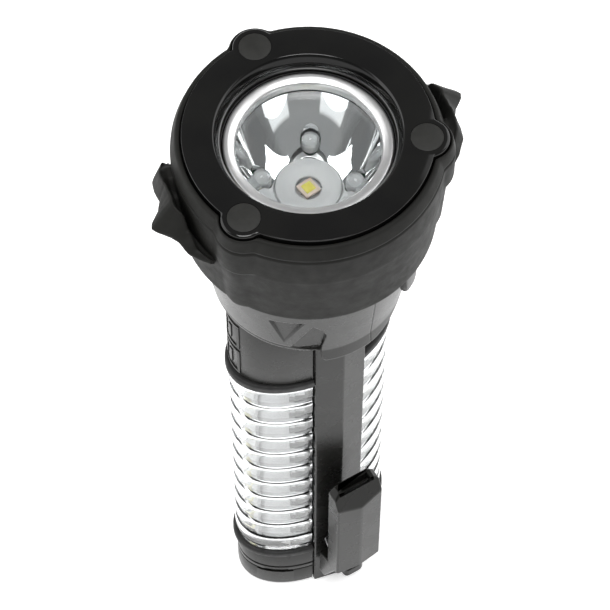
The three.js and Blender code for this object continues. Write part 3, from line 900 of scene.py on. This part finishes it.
def make_strip(side, sign, mats):
    """A pale lamp strip with ten square lamps."""
    low, high = (value.copy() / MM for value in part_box(f"led_strip_{side}"))
    near = min(abs(low.x), abs(high.x))
    half = high.y
    x0, x1 = sorted((sign * near, sign * (near + 1)))
    board = box(f"strip_board_{side}", x0, x1, -half, half, low.z, high.z)
    lamps = 10
    pitch = (high.z - low.z) / lamps
    chips = []
    for i in range(lamps):
        z = low.z + (i + 0.5) * pitch
        x0, x1 = sorted((sign * (near + 0.95), sign * (near + 1.9)))
        chips.append(bevelled(box(f"chip_{side}_{i}", x0, x1, -1.5, 1.5, z - 1.5, z + 1.5), 0.15))
    place(board, mats["white"], "torch", "circuit_board", f"led_strip_{side}")
    joined(chips[0], *chips[1:])
    place(chips[0], mats["phosphor_pale"], "torch", "emitter")


# ---- Spines ----

def shifted(*objects):
    """Moves pieces onto the spines' own middle plane."""
    for obj in objects:
        obj.data.transform(Matrix.Translation((OFFSET * MM, 0, 0)))


def spine_body(name):
    """A keel-shaped strip with a web behind it, along the front."""
    half, back, edge, ridge = 8, 14.2, 15.6, 17.4
    keel = prism(name, [
        (-half, -back), (-half, -edge), (0, -ridge), (half, -edge), (half, -back),
    ], SPINE_LOW, SPINE_TOP)
    bevelled(keel, 0.4, 3, 20)
    web = box(f"{name}_web", -6, 6, -14.6, -9.3, WINDOW_LOW, WINDOW_TOP)
    return keel, web


def make_front_spine(mats):
    keel, web = spine_body("front_keel")
    toe = prism("spine_toe", [
        (p[0], p[1]) for p in rounded(
            [(0.6, -15, 0), (0.6, -20.2, 1.8), (7.9, -20.2, 2.4), (7.9, -15, 0)], 5)
    ], SPINE_LOW, 5.0)
    bevelled(toe, 0.8, 3, 30)
    joined(keel, web, toe)
    shifted(keel)
    place(keel, mats["satin"], "torch", "satin_plastic", "front_spine")


SCREW_LEVELS = (16, 122)
BUTTON_LEVEL = 148
BUTTON_HALF, BUTTON_HEIGHT, BUTTON_BACK = 4.5, 8, 16.1


def stadium(half, height, level, y, inset=0.0):
    """An upright slot-shaped outline on the back, at a depth y."""
    reach, radius, steps = height - half, half - inset, 48
    line = []
    for start, end in ((0, level + reach), (math.pi, level - reach)):
        for i in range(steps + 1):
            t = start + math.pi * i / steps
            line.append((radius * math.cos(t), y, end + radius * math.sin(t)))
    return line


def make_back(mats):
    """The back spine with its button and two screws."""
    keel, web = spine_body("back_keel")
    joined(keel, web)
    keel.data.transform(Matrix.Rotation(math.pi, 4, "Z"))
    hole = build("button_hole", *skin([
        stadium(BUTTON_HALF + GAP, BUTTON_HEIGHT + GAP, BUTTON_LEVEL, y) for y in (10, 25)
    ], caps=True))
    screws = [bar_y(f"screw_hole_{z}", 2.9, 15.0, 20, 0, z) for z in SCREW_LEVELS]
    carved(keel, hole, *screws)
    shifted(keel)
    place(keel, mats["satin"], "torch", "satin_plastic", "back_spine")
    low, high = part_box("power_button")
    back, proud = BUTTON_BACK, high.y / MM
    profile = [(back, 0.0), (proud - 0.9, 0.0), (proud - 0.5, 0.12), (proud - 0.2, 0.4),
               (proud, 1.0), (proud - 0.25, 2.6), (proud - 0.35, 4.3)]
    pad = build("button_pad", *skin(
        [stadium(BUTTON_HALF, BUTTON_HEIGHT, BUTTON_LEVEL, y, inset) for y, inset in profile],
        caps=True))
    ribs = []
    for i in range(-2, 3):
        rib = box(f"button_rib_{i}", -2.4, 2.4, proud - 1.2, proud - 0.05,
                  BUTTON_LEVEL + i * 2.2 - 0.45, BUTTON_LEVEL + i * 2.2 + 0.45)
        ribs.append(bevelled(rib, 0.25))
    stem = bar_y("button_stem", 1.5, low.y / MM, back + 0.5, 0, BUTTON_LEVEL)
    joined(pad, stem, *ribs)
    shifted(pad)
    place(pad, mats["rubber"], "button", "rubber", "power_button")
    make_screws(mats)


def make_screws(mats):
    """Pan-head screws with a cross recess."""
    for i, level in enumerate(SCREW_LEVELS):
        rows = []
        for y, radius in ((15.3, 2.5), (15.9, 2.5), (16.2, 2.42), (16.45, 2.2), (16.6, 1.7)):
            rows.append([(x, y, z) for x, z, _ in circle(radius, 0, 48, (0, level))])
        rows.append([(0, 16.65, level)])
        points, faces = skin(rows)
        faces.append(tuple(range(48)))
        pan = build(f"pan_screw_{i + 1}", points, faces)
        slots = [
            box(f"slot_a_{i}", -1.6, 1.6, 16.0, 17.0, level - 0.3, level + 0.3),
            box(f"slot_b_{i}", -0.3, 0.3, 16.0, 17.0, level - 1.6, level + 1.6),
        ]
        carved(pan, *slots)
        shifted(pan)
        place(pan, mats["steel"], "torch", "steel", f"back_screw_{i + 1}")


# ---- Base ----

def make_base(mats):
    """The base ring and the pull-off cap, with a groove and a finger notch between them."""
    a, b = BASE_OVAL
    ring_low, ring_high = levels("base_ring")
    groove = [(12.2, 0.0), (12.5, 0.55), (13.0, 0.6), (13.3, 0.0)]
    ring_body = sleeve_ring(
        "base_skirt", a, b, edge_levels(ring_low, ring_high, 0.35, groove), 5.0)
    relief = prism(
        "relief", [(-20.0, -8.0), (-14.5, -11.8), (-14.5, -22), (-26, -22), (-26, -8.0)], 10, 10.9)
    carved(ring_body, relief)
    place(ring_body, mats["satin"], "torch", "satin_plastic", "base_ring")
    cap_levels = edge_levels(BASE_LOW, CAP_TOP, 0.35)
    foot = [(BASE_LOW + 1.6 * (1 - math.cos(i * math.pi / 10)),
             1.6 * (1 - math.sin(i * math.pi / 10))) for i in range(6)]
    rows = [channel_oval(a, b, z, inset) for z, inset in foot + cap_levels[5:]]
    cap = build("cap_shell", *skin(rows, caps=True))
    notch = prism(
        "notch", [(-21.4, -6.0), (-13.0, -12.0), (-12.2, -22), (-26, -22), (-26, -6.0)], 9, 11)
    carved(cap, notch)
    place(cap, mats["satin"], "cap", "satin_plastic", "base_cap")


# ---- Strap cutter ----

def slice_off(obj, point, normal):
    """Cuts away what lies beyond a plane and closes the cut."""
    shape = bmesh.new()
    shape.from_mesh(obj.data)
    everything = shape.verts[:] + shape.edges[:] + shape.faces[:]
    cut = bmesh.ops.bisect_plane(
        shape, geom=everything, plane_co=Vector(point) * MM, plane_no=normal, clear_outer=True)
    edges = [e for e in cut["geom_cut"] if isinstance(e, bmesh.types.BMEdge)]
    bmesh.ops.edgeloop_fill(shape, edges=edges)
    bmesh.ops.recalc_face_normals(shape, faces=shape.faces)
    shape.to_mesh(obj.data)
    shape.free()


def make_hook(mats):
    """A guard on a foot, with a ridge down its face, a pocket in its top and a blade behind it."""
    half, back, front, ridge, low, top = 7.7, 22.3, 28.2, 29.3, 12, 77
    foot = 17.7
    side = [
        (-foot, low), (-foot, 25), (-back, 27), (-back, top), (-25.4, top), (-31, 64),
        (-31, 28.5), (-26.5, 26.5), (-20.5, low),
    ]
    rows = [[(x, y, z) for y, z in side] for x in (-half, half)]
    guard = build("guard_body", *skin(rows, caps=True))
    fall = (ridge - front) / half
    slice_off(guard, (0, -ridge, 0), (-fall, -1, 0))
    slice_off(guard, (0, -ridge, 0), (fall, -1, 0))
    for sign in (-1, 1):
        slice_off(guard, (sign * (half - 2.4), 0, top), (sign * 0.72, 0, 0.69))
    pocket = box("guard_pocket", -5.3, 5.3, -25.9, -23.6, top - 4, top + 3)
    carved(guard, pocket)
    bevelled(guard, 0.9, 4, 14)
    shifted(guard)
    place(guard, mats["satin"], "torch", "satin_plastic", "cutter_guard")
    blade = [(-21.8, 28), (-21, 27.7), (-17.8, 31.8), (-17.8, 33)]
    rows = [[(x, y, z) for y, z in blade] for x in (-5.8, 5.8)]
    edge = bevelled(build("blade_strip", *skin(rows, caps=True)), 0.08, 2)
    shifted(edge)
    place(edge, mats["steel"], "torch", "steel", "cutter_blade")


# ---- CAD nodes that stay ----

KEPT = {
    "seal": ("lens_seal", "cap_seal"),
    "aluminium": ("led_board", "heatsink"),
    "board": (
        "aux_led_board", "driver_board", "control_board", "top_contact_board",
    ),
    "dark": ("head_housing", "battery_tube", "tact_switch"),
    "steel": ("contact_spring_left", "contact_spring_right"),
    "copper": ("bottom_contact_strap",),
    "cell": ("cell_left_lower", "cell_left_upper", "cell_right_lower", "cell_right_upper"),
    "wire_red": ("wire_red",),
    "wire_black": ("wire_black",),
}


def finish_kept_nodes(mats):
    for key, nodes in KEPT.items():
        for node in nodes:
            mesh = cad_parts[node].data
            mesh.materials.clear()
            mesh.materials.append(mats[key])


# ---- Studio ----

CAMERA_PLACE = (-0.1998, -0.3308, 0.8080)
CAMERA_TILT, CAMERA_TURN = 30.25, -31
CAMERA_AZIMUTH = CAMERA_TURN - 90
PANELS = ((142, 30), (-4, 34))  # the azimuth and half width of each white panel, in degrees


def make_floor(mats):
    size, level = 3.0, -0.0002
    mesh = bpy.data.meshes.new("studio_floor")
    corners = [(x * size, y * size, level) for x, y in ((-1, -1), (1, -1), (1, 1), (-1, 1))]
    mesh.from_pydata(corners, [], [(0, 1, 2, 3)])
    mesh.materials.append(mats["floor"])
    floor = bpy.data.objects.new("studio_floor", mesh)
    bpy.context.collection.objects.link(floor)


def soft_box(name, place_at, look_at, size, power):
    """A square area light that faces a point."""
    light = bpy.data.lights.new(name, "AREA")
    light.shape = "RECTANGLE"
    light.size, light.size_y = size
    light.energy = power
    obj = bpy.data.objects.new(name, light)
    obj.location = place_at
    obj.rotation_euler = (Vector(look_at) - Vector(place_at)).to_track_quat("-Z", "Y").to_euler()
    bpy.context.collection.objects.link(obj)


def fade(tree, value, start, end):
    """0 at the start value and 1 at the end value, with a smooth step between."""
    node = tree.nodes.new("ShaderNodeMapRange")
    node.interpolation_type = "SMOOTHSTEP"
    node.inputs["From Min"].default_value = start
    node.inputs["From Max"].default_value = end
    tree.links.new(value, node.inputs["Value"])
    return node.outputs["Result"]


def calculate(tree, operation, first, second):
    node = tree.nodes.new("ShaderNodeMath")
    node.operation = operation
    for socket, value in zip(node.inputs, (first, second)):
        if isinstance(value, float):
            socket.default_value = value
        else:
            tree.links.new(value, socket)
    return node.outputs[0]


def toward(tree, flat, azimuth, inner, outer):
    """1 within the inner angle of an azimuth and 0 beyond the outer angle."""
    dot = tree.nodes.new("ShaderNodeVectorMath")
    dot.operation = "DOT_PRODUCT"
    dot.inputs[1].default_value = (*polar(1, azimuth), 0)
    tree.links.new(flat, dot.inputs[0])
    return fade(tree, dot.outputs["Value"], math.cos(math.radians(outer)), math.cos(math.radians(inner)))


def make_world():
    """A white horizon, a grey dome that is dimmer in front, and a tall white panel on each side."""
    world = bpy.data.worlds.new("studio")
    bpy.context.scene.world = world
    world.use_nodes = True
    tree = world.node_tree
    direction = tree.nodes.new("ShaderNodeTexCoord").outputs["Generated"]
    split = tree.nodes.new("ShaderNodeSeparateXYZ")
    tree.links.new(direction, split.inputs[0])
    level = tree.nodes.new("ShaderNodeVectorMath")
    level.operation = "MULTIPLY"
    level.inputs[1].default_value = (1, 1, 0)
    tree.links.new(direction, level.inputs[0])
    unit = tree.nodes.new("ShaderNodeVectorMath")
    unit.operation = "NORMALIZE"
    tree.links.new(level.outputs[0], unit.inputs[0])
    flat, height = unit.outputs[0], split.outputs["Z"]
    dimmer = calculate(tree, "MULTIPLY", toward(tree, flat, CAMERA_AZIMUTH, 40, 80), 0.12)
    dome = calculate(tree, "SUBTRACT", 0.30, dimmer)
    horizon = fade(tree, height, 0.30, 0.14)
    panels = [toward(tree, flat, azimuth, half - 3, half + 3) for azimuth, half in PANELS]
    either = calculate(tree, "MAXIMUM", *panels)
    panel = calculate(tree, "MULTIPLY", either, fade(tree, height, 0.88, 0.84))
    white = calculate(tree, "MAXIMUM", horizon, panel)
    bright = calculate(tree, "MAXIMUM", calculate(tree, "MULTIPLY", white, 1.1), dome)
    background = tree.nodes["Background"]
    background.inputs["Color"].default_value = (1, 1, 1, 1)
    tree.links.new(bright, background.inputs["Strength"])


def from_angles(azimuth, elevation, distance):
    """A place seen from the torch at an azimuth and elevation in degrees."""
    x, y = polar(distance * math.cos(math.radians(elevation)), azimuth)
    return x, y, distance * math.sin(math.radians(elevation))


def make_camera():
    camera = bpy.data.cameras.new("view")
    camera.lens = 163.5
    camera.sensor_width = 36
    camera.clip_start = 0.01
    obj = bpy.data.objects.new("view", camera)
    obj.location = CAMERA_PLACE
    obj.rotation_euler = (math.radians(CAMERA_TILT), 0, math.radians(CAMERA_TURN))
    bpy.context.collection.objects.link(obj)
    bpy.context.scene.camera = obj


def make_lights():
    """A large soft box in front of each panel, and a small key light high on the camera's side."""
    for name, (azimuth, _) in zip(("left_box", "right_box"), PANELS):
        soft_box(name, from_angles(azimuth, 35, 1.3), (0, 0, 0.15), (1.1, 1.3), 5)
    soft_box("key", from_angles(CAMERA_AZIMUTH, 76, 1.2), (0, 0, 0.2), (0.5, 0.5), 7)


def main():
    mats = make_materials()
    make_camera()
    make_collar(mats)
    make_bezel(mats)
    make_reflector(mats)
    make_front_glass(mats)
    make_lamps(mats)
    make_striker("striker_wing_right", "striker_right", 0, mats)
    make_striker("striker_wing_left", "striker_left", 180, mats)
    make_neck(mats)
    make_sleeve(mats)
    make_windows(mats)
    make_front_spine(mats)
    make_back(mats)
    make_base(mats)
    make_hook(mats)
    finish_kept_nodes(mats)
    make_floor(mats)
    make_world()
    make_lights()
    bpy.context.scene.view_settings.view_transform = "Standard"


main()
